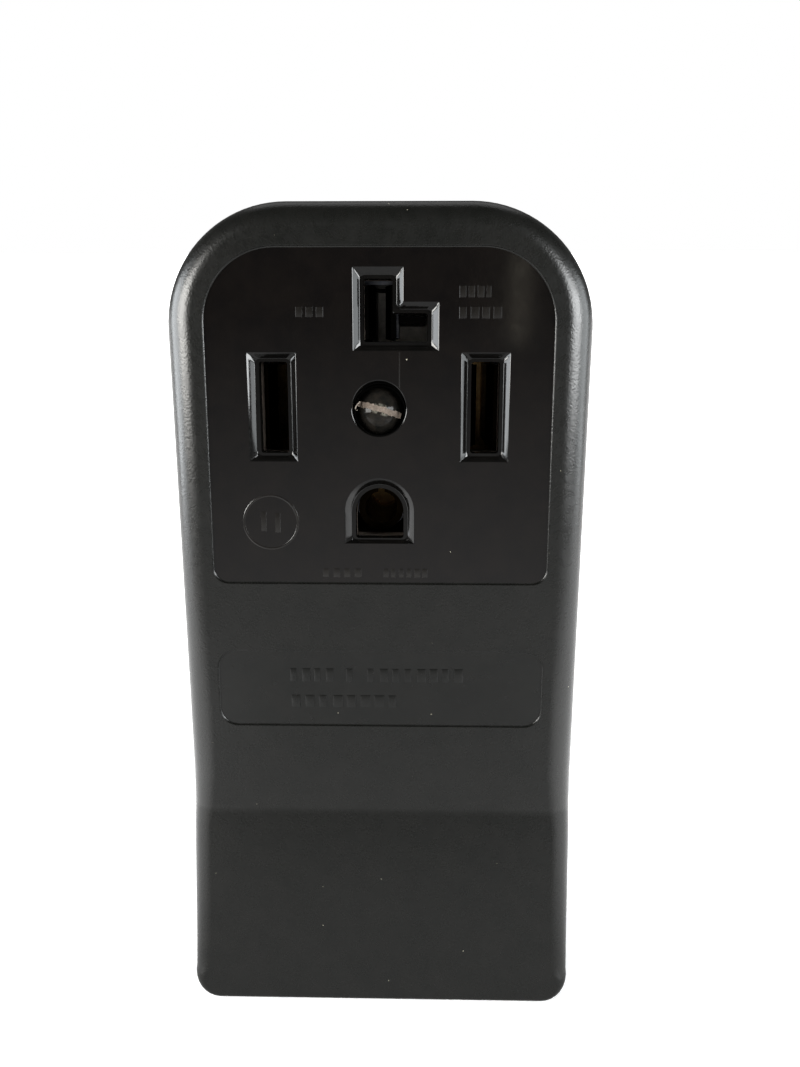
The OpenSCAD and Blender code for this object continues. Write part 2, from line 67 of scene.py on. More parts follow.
# ---- Where things are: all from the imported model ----

record = frame["record"]
plug_face = next(m for m in record["mounts"] if m["name"] == "plug_face")
face_normal = Vector(plug_face["axis"]).normalized()
face_up = Vector((1, 0, 0)).cross(face_normal).normalized()
if face_up.z < 0:
    face_up.negate()
slant = math.atan2(-face_normal.z, -face_normal.y)
MOUNT_UP = 64.0  # how far up the face the plug face's mount point lies from the crease
crease_point = Vector(plug_face["pos_m"]) / MM - face_up * MOUNT_UP

cover_low, cover_high = (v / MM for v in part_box("cover"))
base_z, top_z = cover_low.z, cover_high.z
crease_z, low_depth = crease_point.z, -crease_point.y
full_depth = -cover_low.y
screw_low, screw_high = (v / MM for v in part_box("cover_screw"))
screw_z = (screw_low.z + screw_high.z) / 2

# ---- Sizes of the moulded cover, in millimetres ----

SIDE_TILT = math.atan(1.2 / 123.5)  # each side leans out by 1.2 over a height of 123.5
HALF_BOTTOM = 30.6
WALL = 2.6
FACE_WALL = 3.2
TOP_R, LOW_R = 18.4, 4.7  # corners of the outline, seen from the front
INNER_LOW_R, INNER_ROUND = 1.8, 1.5  # inside: the low corners, and the edge at the front
DRAFT = 0.45  # how much narrower the sides are at the front than at the back
CREASE_BLEND = 0.8  # the crease is rounded over this height above and below it
RIM_FILLET = 0.3  # of the edge that lies on the wall
INNER_RIM_OUT = 0.2  # how far the inside of the wall opens at the back
# Radius of the front edge: at the sides, below the crease, near the bottom, along the top and the bottom
SIDE_ROUND, LOW_SIDE_ROUND, FOOT_ROUND, TOP_ROUND, BOTTOM_ROUND = 4.4, 3.1, 2.6, 4.0, 0.6
# Heights over which that radius changes, from the crease and from the bottom
CREASE_REACH, FOOT_REACH = (-5, 6), (1, 12)
PANEL_RECESS = 0.4
LABEL_RECESS = 0.3
RECESS_SOFT = 0.18  # how wide the rounded step of a recess is
# Left, low, right, high in face coordinates, then the radius of the low and of the high corners
PANEL_BOX = (-25.3, 37.6, 25.3, 86.6, 2.3, 10.5)
LABEL_BOX = (-25.15, 14.5, 25.15, 26.8, 2.8, 2.8)
HEAD_HOLE_R = 3.95
# The lip of the head's hole: how much wider than the hole, and how far below the panel
HOLE_LIP = ((0.15, 0.0), (0.09, 0.02), (0.03, 0.07), (0.0, 0.18))
SHANK_HOLE_R = 2.4
BOSS_R = 5.4
SEAT_CHAMFER, BOSS_CHAMFER = 0.15, 0.3
SEAT_BELOW_FACE = 3.4
BOSS_BELOW_SEAT = 2.4
NOTCH_R = 12.2
NOTCH_PAST_WALL = 0.9  # how far the cut goes past the bottom wall
ENTRY_DEPTH = 17.0  # of the cable entry's middle, from the wall

# ---- Sizes of the cover screw's head, in millimetres ----

DRIVER_TILT = math.radians(16)  # of the driver slot, from the horizontal
HEAD_R, HEAD_RISE = 3.6, 2.9  # radius and height of the dome
DOME_R = (HEAD_R**2 + HEAD_RISE**2) / (2 * HEAD_RISE)


def on_face(u, v, w=0.0):
    """A point in face coordinates: u across, v up the face from the crease, w out of it."""
    return Vector((u, 0, 0)) + crease_point + face_up * v + face_normal * w


def smooth(low, high, x):
    t = min(1.0, max(0.0, (x - low) / (high - low)))
    return t * t * (3 - 2 * t)


def mix(a, b, t):
    return a + (b - a) * t


# ---- Mesh building ----

SHARP = math.radians(32)  # edges that bend more than this stay sharp
WELD = 1e-7  # points closer than this become one, in metres
SAME_PLANE = 0.99999  # cosine between two normals that count as one


def inside_outline(p, outline):
    """Whether a flat point lies inside a closed outline."""
    inside = False
    for a, b in zip(outline, outline[1:] + outline[:1]):
        if (a.y > p.y) != (b.y > p.y) and p.x < a.x + (p.y - a.y) * (b.x - a.x) / (b.y - a.y):
            inside = not inside
    return inside


class Shell:
    """Collects points and faces; the unit is the millimetre."""

    def __init__(self):
        self.points, self.faces, self.paint = [], [], []

    def ring(self, points):
        start = len(self.points)
        self.points.extend(Vector(p) for p in points)
        return list(range(start, len(self.points)))

    def face(self, corners, paint):
        self.faces.append(tuple(corners))
        self.paint.append(paint)

    def loft(self, a, b, paint=0):
        n = len(a)
        for i in range(n):
            j = (i + 1) % n
            self.face((a[i], a[j], b[j], b[i]), paint)

    def rings(self, loops, paint=0):
        for a, b in zip(loops, loops[1:]):
            self.loft(a, b, paint)

    def fill(self, loops, flat, paint=0):
        """Fills the flat area inside the first loop and outside the others."""
        index = [i for loop in loops for i in loop]
        coords = [flat(self.points[i]) for i in index]
        edges, start = [], 0
        for loop in loops:
            n = len(loop)
            edges += [(start + i, start + (i + 1) % n) for i in range(n)]
            start += n
        _, _, tris, origin, _, _ = delaunay_2d_cdt(coords, edges, [], 1, 1e-5)
        outlines = [[flat(self.points[i]) for i in loop] for loop in loops]
        for tri in tris:
            corners = [index[origin[i][0]] for i in tri]
            middle = sum((flat(self.points[i]) for i in corners), Vector((0, 0))) / 3
            in_hole = any(inside_outline(middle, hole) for hole in outlines[1:])
            if inside_outline(middle, outlines[0]) and not in_hole:
                self.face(corners, paint)

    def build(self, name, materials):
        mesh = bpy.data.meshes.new(name)
        mesh.from_pydata([p * MM for p in self.points], [], self.faces)
        for m in materials:
            mesh.materials.append(m)
        for polygon, paint in zip(mesh.polygons, self.paint):
            polygon.material_index = paint
        return finish_mesh(name, mesh)


def finish_mesh(name, mesh, planes=()):
    """Joins and smooths a mesh, and keeps the faces that lie along the given normals truly flat."""
    bm = bmesh.new()
    bm.from_mesh(mesh)
    bmesh.ops.remove_doubles(bm, verts=bm.verts, dist=WELD)
    bmesh.ops.recalc_face_normals(bm, faces=bm.faces)
    bm.to_mesh(mesh)
    bm.free()
    for polygon in mesh.polygons:
        polygon.use_smooth = True
    mesh.set_sharp_from_angle(angle=SHARP)
    if planes:
        keep_flat(mesh, planes)
    obj = bpy.data.objects.new(name, mesh)
    bpy.context.scene.collection.objects.link(obj)
    return obj


def keep_flat(mesh, planes):
    """Gives every corner next to a flat face that face's normal, unless the edge is sharp."""
    flat = {}
    for polygon in mesh.polygons:
        for plane in planes:
            if polygon.normal.dot(plane) > SAME_PLANE:
                for v in polygon.vertices:
                    flat.setdefault(v, []).append(plane)
    normals = [Vector(n.vector) for n in mesh.corner_normals]
    for polygon in mesh.polygons:
        for corner, v in zip(polygon.loop_indices, polygon.vertices):
            for plane in flat.get(v, ()):
                if polygon.normal.dot(plane) > math.cos(SHARP):
                    normals[corner] = plane
    mesh.normals_split_custom_set(normals)


def corner_ring(corners, radius, rounded, steps):
    """Points around a flat outline. Each corner is (point, is_corner); a corner is cut into
    steps pieces, which lie on an arc when rounded is 1 and run into the sharp corner at 0."""
    n, out = len(corners), []
    for i, (p, is_corner) in enumerate(corners):
        if not is_corner:
            out.append(p)
            continue
        before, after = corners[i - 1][0], corners[(i + 1) % n][0]
        a = p + (before - p).normalized() * radius
        b = p + (after - p).normalized() * radius
        for k in range(steps + 1):
            t = k / steps
            arc_point = a * (1 - t) ** 2 + p * (2 * t * (1 - t)) + b * t**2
            sharp_point = a.lerp(p, 2 * t) if t < 0.5 else p.lerp(b, 2 * t - 1)
            out.append(sharp_point.lerp(arc_point, rounded))
    return out


# ---- Materials ----


def node_material(name):
    m = bpy.data.materials.new(name)
    m.use_nodes = True
    nodes, links = m.node_tree.nodes, m.node_tree.links
    nodes.clear()
    out = nodes.new("ShaderNodeOutputMaterial")
    shader = nodes.new("ShaderNodeBsdfPrincipled")
    links.new(shader.outputs[0], out.inputs[0])
    coords = nodes.new("ShaderNodeTexCoord")
    scale = nodes.new("ShaderNodeMapping")
    scale.inputs["Scale"].default_value = (1 / MM,) * 3
    links.new(coords.outputs["Object"], scale.inputs["Vector"])
    return m, nodes, links, shader, scale.outputs[0]


def noise(nodes, links, vector, scale, detail=3.0, roughness=0.55, distortion=0.0):
    n = nodes.new("ShaderNodeTexNoise")
    n.inputs["Scale"].default_value = scale
    n.inputs["Detail"].default_value = detail
    n.inputs["Roughness"].default_value = roughness
    n.inputs["Distortion"].default_value = distortion
    links.new(vector, n.inputs["Vector"])
    return n.outputs["Fac"]


def spread(nodes, links, value, low, high, to_low, to_high):
    n = nodes.new("ShaderNodeMapRange")
    for socket, number in zip(("From Min", "From Max", "To Min", "To Max"), (low, high, to_low, to_high)):
        n.inputs[socket].default_value = number
    links.new(value, n.inputs["Value"])
    return n.outputs["Result"]


def blend_colour(nodes, links, factor, a, b):
    n = nodes.new("ShaderNodeMix")
    n.data_type = "RGBA"
    links.new(factor, n.inputs["Factor"])
    for socket, colour in ((n.inputs[6], a), (n.inputs[7], b)):
        if isinstance(colour, tuple):
            socket.default_value = (*colour, 1)
        else:
            links.new(colour, socket)
    return n.outputs[2]


def arithmetic(nodes, links, operation, *values):
    """A Math node's result; each value is a number or another node's output."""
    n = nodes.new("ShaderNodeMath")
    n.operation = operation
    for socket, value in zip(n.inputs, values):
        if isinstance(value, (int, float)):
            socket.default_value = value
        else:
            links.new(value, socket)
    return n.outputs[0]


def distance_along(nodes, links, vector, axis):
    n = nodes.new("ShaderNodeVectorMath")
    n.operation = "DOT_PRODUCT"
    n.inputs[1].default_value = axis
    links.new(vector, n.inputs[0])
    return n.outputs["Value"]


def split_axes(nodes, links, vector):
    n = nodes.new("ShaderNodeSeparateXYZ")
    links.new(vector, n.inputs[0])
    return n.outputs


DUST_COLOUR = (0.34, 0.32, 0.25)
DUST_CELLS, DUST_SIZES = 0.75, (0.02, 0.075)  # cells per millimetre, and specks as shares of a cell
WORN_COLOUR = (0.42, 0.40, 0.33)
WORN_PATCHES, WORN_SHARE = (0.48, 0.62), 0.65  # which noise values are worn, and how far at most
# The worn area across and along the driver slot: its middle, and how far from it wear ends and is full
WORN_ACROSS, WORN_ALONG = (0.0, 0.85, 0.5), (0.3, 1.35, 0.7)
# The duller front below the crease: its specular level, the height it starts over, and how far
# behind the front it ends
DULL_SPECULAR, DULL_BLEND, DULL_FRONT = 0.39, 0.3, (0.8, 3.4)
# Millimetres below the face between which the cover shades the contacts
SHADE_START, SHADE_END = (4.2, 5.2), (21.0, 24.0)


def slot_wear(nodes, links, vector):
    """A patchy mask close to the cover screw's driver slot."""
    sin, cos = math.sin(DRIVER_TILT), math.cos(DRIVER_TILT)
    middle = Vector((0, 0, screw_z))
    masks = []
    slot_axes = ((Vector((sin, 0, cos)), WORN_ACROSS), (Vector((cos, 0, -sin)), WORN_ALONG))
    for axis, (shift, start, end) in slot_axes:
        place = distance_along(nodes, links, vector, axis)
        from_middle = arithmetic(nodes, links, "SUBTRACT", place, middle.dot(axis) + shift)
        size = arithmetic(nodes, links, "ABSOLUTE", from_middle)
        masks.append(spread(nodes, links, size, start, end, 0.0, 1.0))
    patches = noise(nodes, links, vector, 1.3, 4.0, 0.7)
    masks.append(spread(nodes, links, patches, *WORN_PATCHES, 0.0, WORN_SHARE))
    near_slot = arithmetic(nodes, links, "MULTIPLY", masks[0], masks[1])
    return arithmetic(nodes, links, "MULTIPLY", near_slot, masks[2])


def dust_specks(nodes, links, vector, share):
    """A mask of small round specks, one in this share of the cells."""
    specks = nodes.new("ShaderNodeTexVoronoi")
    specks.inputs["Scale"].default_value = DUST_CELLS
    links.new(vector, specks.inputs["Vector"])
    draws = nodes.new("ShaderNodeSeparateColor")
    links.new(specks.outputs["Color"], draws.inputs[0])
    chosen = arithmetic(nodes, links, "LESS_THAN", draws.outputs[0], share)
    size = spread(nodes, links, draws.outputs[1], 0, 1, *DUST_SIZES)
    near = arithmetic(nodes, links, "LESS_THAN", specks.outputs["Distance"], size)
    return arithmetic(nodes, links, "MULTIPLY", chosen, near)


def shade_inside(nodes, links, vector, colour, inner_dark):
    """Darkens a colour to inner_dark at the depths where the cover shades the contacts."""
    place = distance_along(nodes, links, vector, face_normal)
    face = crease_point.dot(face_normal)
    deep = spread(nodes, links, place, face - SHADE_END[1], face - SHADE_END[0], 1.0, inner_dark)
    near = spread(nodes, links, place, face - SHADE_START[1], face - SHADE_START[0], inner_dark, 1.0)
    darker = nodes.new("ShaderNodeVectorMath")
    darker.operation = "SCALE"
    links.new(colour, darker.inputs[0])
    links.new(arithmetic(nodes, links, "MAXIMUM", deep, near), darker.inputs["Scale"])
    return darker.outputs[0]


def front_below_crease(nodes, links, vector):
    """A mask of the front face below the crease."""
    place = split_axes(nodes, links, vector)
    low = spread(nodes, links, place["Z"], crease_z - DULL_BLEND, crease_z + DULL_BLEND, 1.0, 0.0)
    start, end = (depth - low_depth for depth in DULL_FRONT)
    in_front = spread(nodes, links, place["Y"], start, end, 1.0, 0.0)
    return arithmetic(nodes, links, "MULTIPLY", low, in_front)


def bump_height(nodes, links, vector, size, cells):
    if not cells:
        return noise(nodes, links, vector, size, 3.0)
    n = nodes.new("ShaderNodeTexVoronoi")
    n.feature = "SMOOTH_F1"
    n.inputs["Scale"].default_value = size
    links.new(vector, n.inputs["Vector"])
    return n.outputs["Distance"]


def surface(
    name, base, tint, rough, metal=0.0, patch=0.25, grain=0.0, grain_size=3.0, wave=0.0,
    wave_size=0.25, stretch=(1, 1, 1), dust=0.0, cells=False, coat=0.0, specular=0.5,
    inner_dark=1.0, worn=False, dull_below=False,
):
    """A procedural finish. Sizes are per millimetre, and grain and wave are heights in mm."""
    m, nodes, links, shader, vector = node_material(name)
    shader.inputs["Metallic"].default_value = metal
    shader.inputs["Specular IOR Level"].default_value = specular
    shader.inputs["Coat Weight"].default_value = coat
    patches = noise(nodes, links, vector, patch, 5.0, 0.62, 0.3)
    colour = blend_colour(nodes, links, spread(nodes, links, patches, 0.35, 0.65, 0, 1), base, tint)
    smudges = noise(nodes, links, vector, patch * 2.7, 4.0, 0.6, 0.8)
    roughness = spread(nodes, links, smudges, 0.3, 0.7, *rough)
    if dust:
        colour = blend_colour(nodes, links, dust_specks(nodes, links, vector, dust), colour, DUST_COLOUR)
    if inner_dark < 1:
        colour = shade_inside(nodes, links, vector, colour, inner_dark)
    if dull_below:
        low_front = front_below_crease(nodes, links, vector)
        sheen = spread(nodes, links, low_front, 0.0, 1.0, specular, DULL_SPECULAR)
        links.new(sheen, shader.inputs["Specular IOR Level"])
    if worn:
        beside_slot = slot_wear(nodes, links, vector)
        colour = blend_colour(nodes, links, beside_slot, colour, WORN_COLOUR)
        links.new(beside_slot, shader.inputs["Metallic"])
    links.new(colour, shader.inputs["Base Color"])
    links.new(roughness, shader.inputs["Roughness"])
    stretched = nodes.new("ShaderNodeMapping")
    stretched.inputs["Scale"].default_value = stretch
    links.new(vector, stretched.inputs["Vector"])
    normal = None
    for height, size, in_cells in ((grain, grain_size, cells), (wave, wave_size, False)):
        if not height:
            continue
        bump = nodes.new("ShaderNodeBump")
        bump.inputs["Strength"].default_value = 1.0
        bump.inputs["Distance"].default_value = height * MM
        links.new(bump_height(nodes, links, stretched.outputs[0], size, in_cells), bump.inputs["Height"])
        if normal is not None:
            links.new(normal, bump.inputs["Normal"])
        normal = bump.outputs[0]
    if normal is not None:
        links.new(normal, shader.inputs["Normal"])
    return m


casing = surface("casing", (0.0036, 0.0038, 0.0032), (0.0052, 0.0052, 0.0045), (0.25, 0.31),
    grain=0.019, grain_size=3.5, wave=0.004, wave_size=1.1, dust=0.09, cells=True, dull_below=True)
gloss = surface("gloss_panel", (0.0022, 0.0018, 0.0017), (0.0036, 0.0028, 0.0024), (0.08, 0.125),
    grain=0.0008, grain_size=6.0, wave=0.004, wave_size=0.22, dust=0.035)
label_face = surface("label_face", (0.0038, 0.0040, 0.0035), (0.0054, 0.0054, 0.0047), (0.22, 0.28),
    grain=0.003, grain_size=6.0, dust=0.03)
mouth = surface("slot_mouth", (0.0020, 0.0019, 0.0018), (0.0032, 0.0029, 0.0026), (0.07, 0.11),
    grain=0.001, grain_size=5.0, specular=0.42)
inside = surface("casing_inside", (0.012, 0.0115, 0.011), (0.022, 0.019, 0.017), (0.45, 0.6),
    grain=0.006, grain_size=3.0)
mark = surface("raised_mark", (0.005, 0.0045, 0.004), (0.008, 0.007, 0.006), (0.16, 0.24),
    grain=0.001, grain_size=6.0)
slot_fill = surface("slot_dust", (0.17, 0.135, 0.11), (0.10, 0.078, 0.06), (0.75, 0.95),
    patch=1.6, grain=0.05, grain_size=5.0, wave=0.06, wave_size=1.5)
fibre_dust = surface("fibre_dust", (0.55, 0.48, 0.40), (0.40, 0.34, 0.28), (0.7, 0.9),
    patch=2.0, grain=0.01, grain_size=8.0)

FINISHES = {
    "plate_black": surface("plate_moulded", (0.024, 0.023, 0.022), (0.040, 0.038, 0.035),
        (0.38, 0.55), patch=0.12, grain=0.012, grain_size=3.4, wave=0.02, wave_size=0.3,
        cells=True, dust=0.06),
    "deck_brown": surface("deck_thermoset", (0.052, 0.043, 0.036), (0.085, 0.068, 0.054),
        (0.42, 0.6), patch=0.5, grain=0.010, grain_size=5.0, wave=0.01, wave_size=0.5),
    "brass": surface("brass_sheet", (0.55, 0.36, 0.15), (0.38, 0.23, 0.10), (0.3, 0.45), 1.0,
        inner_dark=0.012, patch=0.5, grain=0.003, grain_size=3.0, stretch=(1, 6, 0.5)),
    "nickel": surface("nickel_sheet", (0.55, 0.52, 0.47), (0.38, 0.36, 0.32), (0.3, 0.45), 1.0,
        inner_dark=0.01, patch=0.5, grain=0.003, grain_size=3.0, stretch=(1, 6, 0.5)),
    "spring_steel": surface("spring_steel", (0.40, 0.41, 0.43), (0.22, 0.24, 0.30), (0.28, 0.42),
        1.0, patch=0.6, grain=0.003, grain_size=3.0, stretch=(0.5, 6, 2)),
    "lug_metal": surface("lug_tin", (0.68, 0.69, 0.70), (0.50, 0.50, 0.50), (0.3, 0.46), 1.0,
        patch=0.45, grain=0.006, grain_size=3.0, stretch=(3, 3, 0.3)),
    "worn_screw": surface("worn_screw", (0.006, 0.006, 0.0055), (0.014, 0.012, 0.010), (0.06, 0.12),
        0.0, patch=0.8, grain=0.002, grain_size=4.0, specular=0.13, worn=True),
    "plated_screw": surface("zinc_plate", (0.62, 0.60, 0.55), (0.50, 0.46, 0.36), (0.25, 0.42),
        1.0, patch=0.6, grain=0.004, grain_size=4.0, stretch=(1, 8, 1)),
    "brass_screw": surface("brass_turned", (0.66, 0.46, 0.19), (0.46, 0.30, 0.12), (0.22, 0.38),
        1.0, patch=0.6, grain=0.004, grain_size=4.0, stretch=(1, 8, 1)),
    "green_screw": surface("green_zinc", (0.03, 0.20, 0.07), (0.06, 0.28, 0.10), (0.25, 0.42),
        0.6, patch=0.6, grain=0.004, grain_size=4.0, coat=0.4),
    "fibre": surface("fibre_washer", (0.045, 0.035, 0.03), (0.075, 0.06, 0.05), (0.7, 0.9),
        patch=1.2, grain=0.02, grain_size=5.0),
    "cover_black": casing,
}

# ---- The moulded cover ----

# The cover's materials, by their place in its list
CASING, GLOSS, LABEL, MOUTH, INSIDE = range(5)


def side_x(z):
    return HALF_BOTTOM + (z - base_z) * math.tan(SIDE_TILT)


# Where the outline's points lie: shares of a side below the crease, of the crease, of the flat top and
# bottom, and how many pieces the rest is cut into
LOW_SIDE_SHARES = (0.08, 0.2, 0.35, 0.5, 0.65, 0.8, 0.92)
CREASE_SHARES = (-1, -0.7, -0.4, -0.15, 0.15, 0.4, 0.7, 1)
TOP_SHARES = (0.6, 0.2, -0.2, -0.6)
BOTTOM_SHARES = (-0.75, -0.5, -0.2, 0.2, 0.5, 0.75)
HIGH_SIDE_STEPS, LOW_CORNER_STEPS, TOP_CORNER_STEPS = 14, 8, 24


def outline_arc(centre, radius, start, end, steps):
    """Points and outward normals of an arc."""
    out = []
    for k in range(steps + 1):
        a = mix(start, end, k / steps)
        n = Vector((math.cos(a), math.sin(a)))
        out.append((Vector(centre) + n * radius, n))
    return out


def perimeter(inset, top_r, low_r):
    """Points and outward normals of the front outline, starting at the lower right corner."""
    tilt = SIDE_TILT

    def side(z):
        return side_x(z) - inset / math.cos(tilt)

    top_c, low_c = top_z - inset - top_r, base_z + inset + low_r
    top_x, low_x = (side(z) - r / math.cos(tilt) for z, r in ((top_c, top_r), (low_c, low_r)))
    low_end, high_start = low_c - low_r * math.sin(tilt), top_c - top_r * math.sin(tilt)
    rows = [mix(low_end, crease_z - CREASE_BLEND, t) for t in LOW_SIDE_SHARES]
    rows += [crease_z + CREASE_BLEND * t for t in CREASE_SHARES]
    rows += [mix(crease_z + CREASE_BLEND, high_start, t / HIGH_SIDE_STEPS) for t in range(1, HIGH_SIDE_STEPS)]
    out_right = Vector((math.cos(tilt), -math.sin(tilt)))
    right = outline_arc((low_x, low_c), low_r, -math.pi / 2, -tilt, LOW_CORNER_STEPS)
    right += [(Vector((side(z), z)), out_right) for z in rows]
    right += outline_arc((top_x, top_c), top_r, -tilt, math.pi / 2, TOP_CORNER_STEPS)
    left = [(Vector((-p.x, p.y)), Vector((-n.x, n.y))) for p, n in reversed(right)]
    top = [(Vector((top_x * t, top_z - inset)), Vector((0, 1))) for t in TOP_SHARES]
    bottom = [(Vector((low_x * t, base_z + inset)), Vector((0, -1))) for t in BOTTOM_SHARES]
    return right + top + left + bottom


def front_y(z):
    """Depth of the front surface at a height z, with the crease blended."""
    rise, t = z - crease_z, math.tan(slant)
    if rise <= -CREASE_BLEND:
        return -low_depth
    if rise >= CREASE_BLEND:
        return -low_depth - t * rise
    return -low_depth - t * (rise + CREASE_BLEND) ** 2 / (4 * CREASE_BLEND)


def edge_round(p, n):
    """Radius of the front edge at a point of the outline."""
    side = mix(LOW_SIDE_ROUND, SIDE_ROUND, smooth(*(crease_z + rise for rise in CREASE_REACH), p.y))
    side = mix(FOOT_ROUND, side, smooth(*(base_z + rise for rise in FOOT_REACH), p.y))
    if n.y > 0:
        return mix(side, TOP_ROUND, n.y)
    return mix(side, BOTTOM_ROUND, max(0.0, -n.y - math.sin(SIDE_TILT)))


def shell_ring(outline, lift, radius_of, angle=0.0, share=None, extra=0.0):
    """A ring of the outer or inner surface: share of the way to the front edge, or angle round it."""
    ring = []
    for p, n in outline:
        r = radius_of(p, n)
        edge_y = front_y(p.y) + lift + r
        y = edge_y * share if share is not None else front_y(p.y) + lift + r * (1 - math.sin(angle))
        inset = extra + DRAFT * min(1.0, -y / full_depth) * (1 - abs(n.y)) ** 2
        inset += 0 if share is not None else r * (1 - math.cos(angle))
        q = p - n * inset
        if share is None:
            y = front_y(q.y) + lift + r * (1 - math.sin(angle))
        ring.append(Vector((q.x, y, q.y)))
    return ring


def front_regions(shell, ring, outline):
    """Splits the last ring into the upper face, the crease strip and the lower face."""
    # A row at the crease has a level normal; on the left it lies beyond 20 mm
    half, slack, level, beyond = len(ring) // 2, 0.06, 0.2, -20
    right_rows = [k for k in range(half) if abs(outline[k][0].y - crease_z) <= CREASE_BLEND + slack
                  and abs(outline[k][1].y) < level]
    on_left = [k for k in range(half, len(ring)) if shell.points[ring[k]].x < beyond]

    def apart(k, j):
        return abs(shell.points[ring[j]].z - shell.points[ring[k]].z)

    left_rows = [min(on_left, key=lambda j, k=k: apart(k, j)) for k in right_rows]
    upper = ring[right_rows[-1]:left_rows[-1] + 1]
    lower = ring[left_rows[0]:] + ring[:right_rows[0] + 1]
    strips = [(ring[a], ring[b], ring[c], ring[d]) for a, b, c, d in
              zip(right_rows, right_rows[1:], left_rows[1:], left_rows)]
    return upper, strips, lower


def face_flat(p):
    q = p - crease_point
    return Vector((p.x, q.dot(face_up)))


def wall_flat(p):
    return Vector((p.x, p.z))


def rectangle(low_u, low_v, high_u, high_v):
    return [(Vector(p), True) for p in ((low_u, low_v), (high_u, low_v), (high_u, high_v), (low_u, high_v))]


def elbow(left, low, right, high, arm_u, arm_v):
    return [(Vector(p), True) for p in
            ((left, low), (right, low), (right, arm_v), (arm_u, arm_v), (arm_u, high), (left, high))]


def arch(half, low, high, steps=20):
    centre = high - half
    out = [(Vector((-half, low)), True), (Vector((half, low)), True)]
    out += [(Vector((half * math.cos(a), centre + half * math.sin(a))), False)
            for a in (math.pi * k / steps for k in range(steps + 1))]
    return out


# Each slot: corners of the hole and of its mouth, in face coordinates; True marks a corner
SLOTS = {
    "hot_left": (rectangle(-17.55, 57.35, -13.45, 70.6), rectangle(-19.15, 56.2, -12.05, 71.9)),
    "hot_right": (rectangle(13.45, 57.35, 17.55, 70.6), rectangle(11.95, 56.2, 18.95, 71.9)),
    "elbow": (elbow(-2.2, 73.45, 7.0, 82.2, 1.95, 77.45), elbow(-3.7, 72.2, 8.6, 83.75, 3.5, 78.95)),
    "earth": (arch(3.55, 44.45, 52.05), arch(5.2, 43.8, 53.65)),
}
# (share of the mouth's width, depth below the panel, corner radius, how rounded)
MOUTH_PROFILE = (
    (1.05, 0.0, 0.9, 0.0), (1.01, 0.02, 0.9, 0.0), (0.97, 0.06, 0.9, 0.0),
    (0.44, 0.86, 0.9, 0.0), (0.40, 0.93, 0.9, 0.9), (0.36, 0.96, 0.9, 1.0), (0.30, 0.96, 0.8, 1.0),
    (0.03, 0.96, 0.5, 1.0), (0.0, 1.04, 0.4, 1.0),
)


def slot_rings(shell, hole, rim):
    """Rings from the panel down through the slot to the inside of the front wall."""
    steps, loops = 8, []
    for share, depth, radius, rounded in MOUTH_PROFILE:
        corners = [(a.lerp(b, share), flag) for (a, flag), (b, _) in zip(hole, rim)]
        flat = corner_ring(corners, radius, rounded, steps)
        loops.append(shell.ring([on_face(p.x, p.y, -PANEL_RECESS - depth) for p in flat]))
    flat = corner_ring(hole, MOUTH_PROFILE[-1][2], 1.0, steps)
    loops.append(shell.ring([on_face(p.x, p.y, -FACE_WALL) for p in flat]))
    return loops


def rounded_box(u0, v0, u1, v1, low_r, high_r, grow):
    """Rounded rectangle in face coordinates, with its own radius for the low and high corners."""
    out = []
    corners = ((u1, v1, high_r, 0), (u0, v1, high_r, 90), (u0, v0, low_r, 180), (u1, v0, low_r, 270))
    for cu, cv, r, start in corners:
        centre = Vector((cu - math.copysign(r, cu), cv - math.copysign(r, cv - (v0 + v1) / 2)))
        steps = 16 if r > 5 else 8
        for k in range(steps + 1):
            a = math.radians(start + 90 * k / steps)
            out.append(centre + Vector((math.cos(a), math.sin(a))) * (r + grow))
    return out


def recess(shell, box, paint_edge, depth):
    """A shallow recess in the face; returns its upper and lower loops."""
    soft, loops = RECESS_SOFT, []
    for grow, w in ((soft, 0), (soft * 0.4, -soft * 0.12), (0.02, -soft * 0.55), (0.0, -depth + soft * 0.5),
                    (-soft * 0.45, -depth + soft * 0.1), (-soft, -depth)):
        loops.append(shell.ring([on_face(p.x, p.y, w) for p in rounded_box(*box, grow)]))
    shell.rings(loops, paint_edge)
    return loops[0], loops[-1]


def circle_on(radius, height_at, count=72):
    out = []
    for k in range(count):
        a = 2 * math.pi * k / count
        x, z = radius * math.cos(a), screw_z + radius * math.sin(a)
        out.append(Vector((x, height_at(z), z)))
    return out


def plane_y(w):
    """Depth of the plane parallel to the face at w, as a function of height."""
    at = on_face(0, 0, w)
    return lambda z: at.y - (z - at.z) * math.tan(slant)


def inner_edge_round(p, n):
    """The same radius everywhere, where edge_round gives the outer one."""
    return INNER_ROUND


def skin(shell, outline, lift, radius_of, sides, round_steps, paint):
    """Rings from the back to the front face; sides gives each ring's share of the way and its inset."""
    loops = []
    for share, extra in sides:
        loops.append(shell.ring(shell_ring(outline, lift, radius_of, share=share, extra=extra)))
    for k in range(round_steps + 1):
        angle = math.radians(90 * k / round_steps)
        loops.append(shell.ring(shell_ring(outline, lift, radius_of, angle=angle)))
    shell.rings(loops, paint)
    upper, strips, lower = front_regions(shell, loops[-1], outline)
    for strip in strips:
        shell.face(strip, paint)
    shell.fill([lower], wall_flat, paint)
    return loops[0], upper


# The side's rings: share of the way to the front edge, and inset
OUTER_SIDES = ((0.0, RIM_FILLET), (0.008, RIM_FILLET * 0.12), (0.02, 0.0), (0.2, 0.0), (0.5, 0.0), (0.8, 0.0),
               (0.97, 0.0))
INNER_SIDES = ((0.0, -INNER_RIM_OUT), (0.01, 0.0), (0.3, 0.0), (0.65, 0.0))


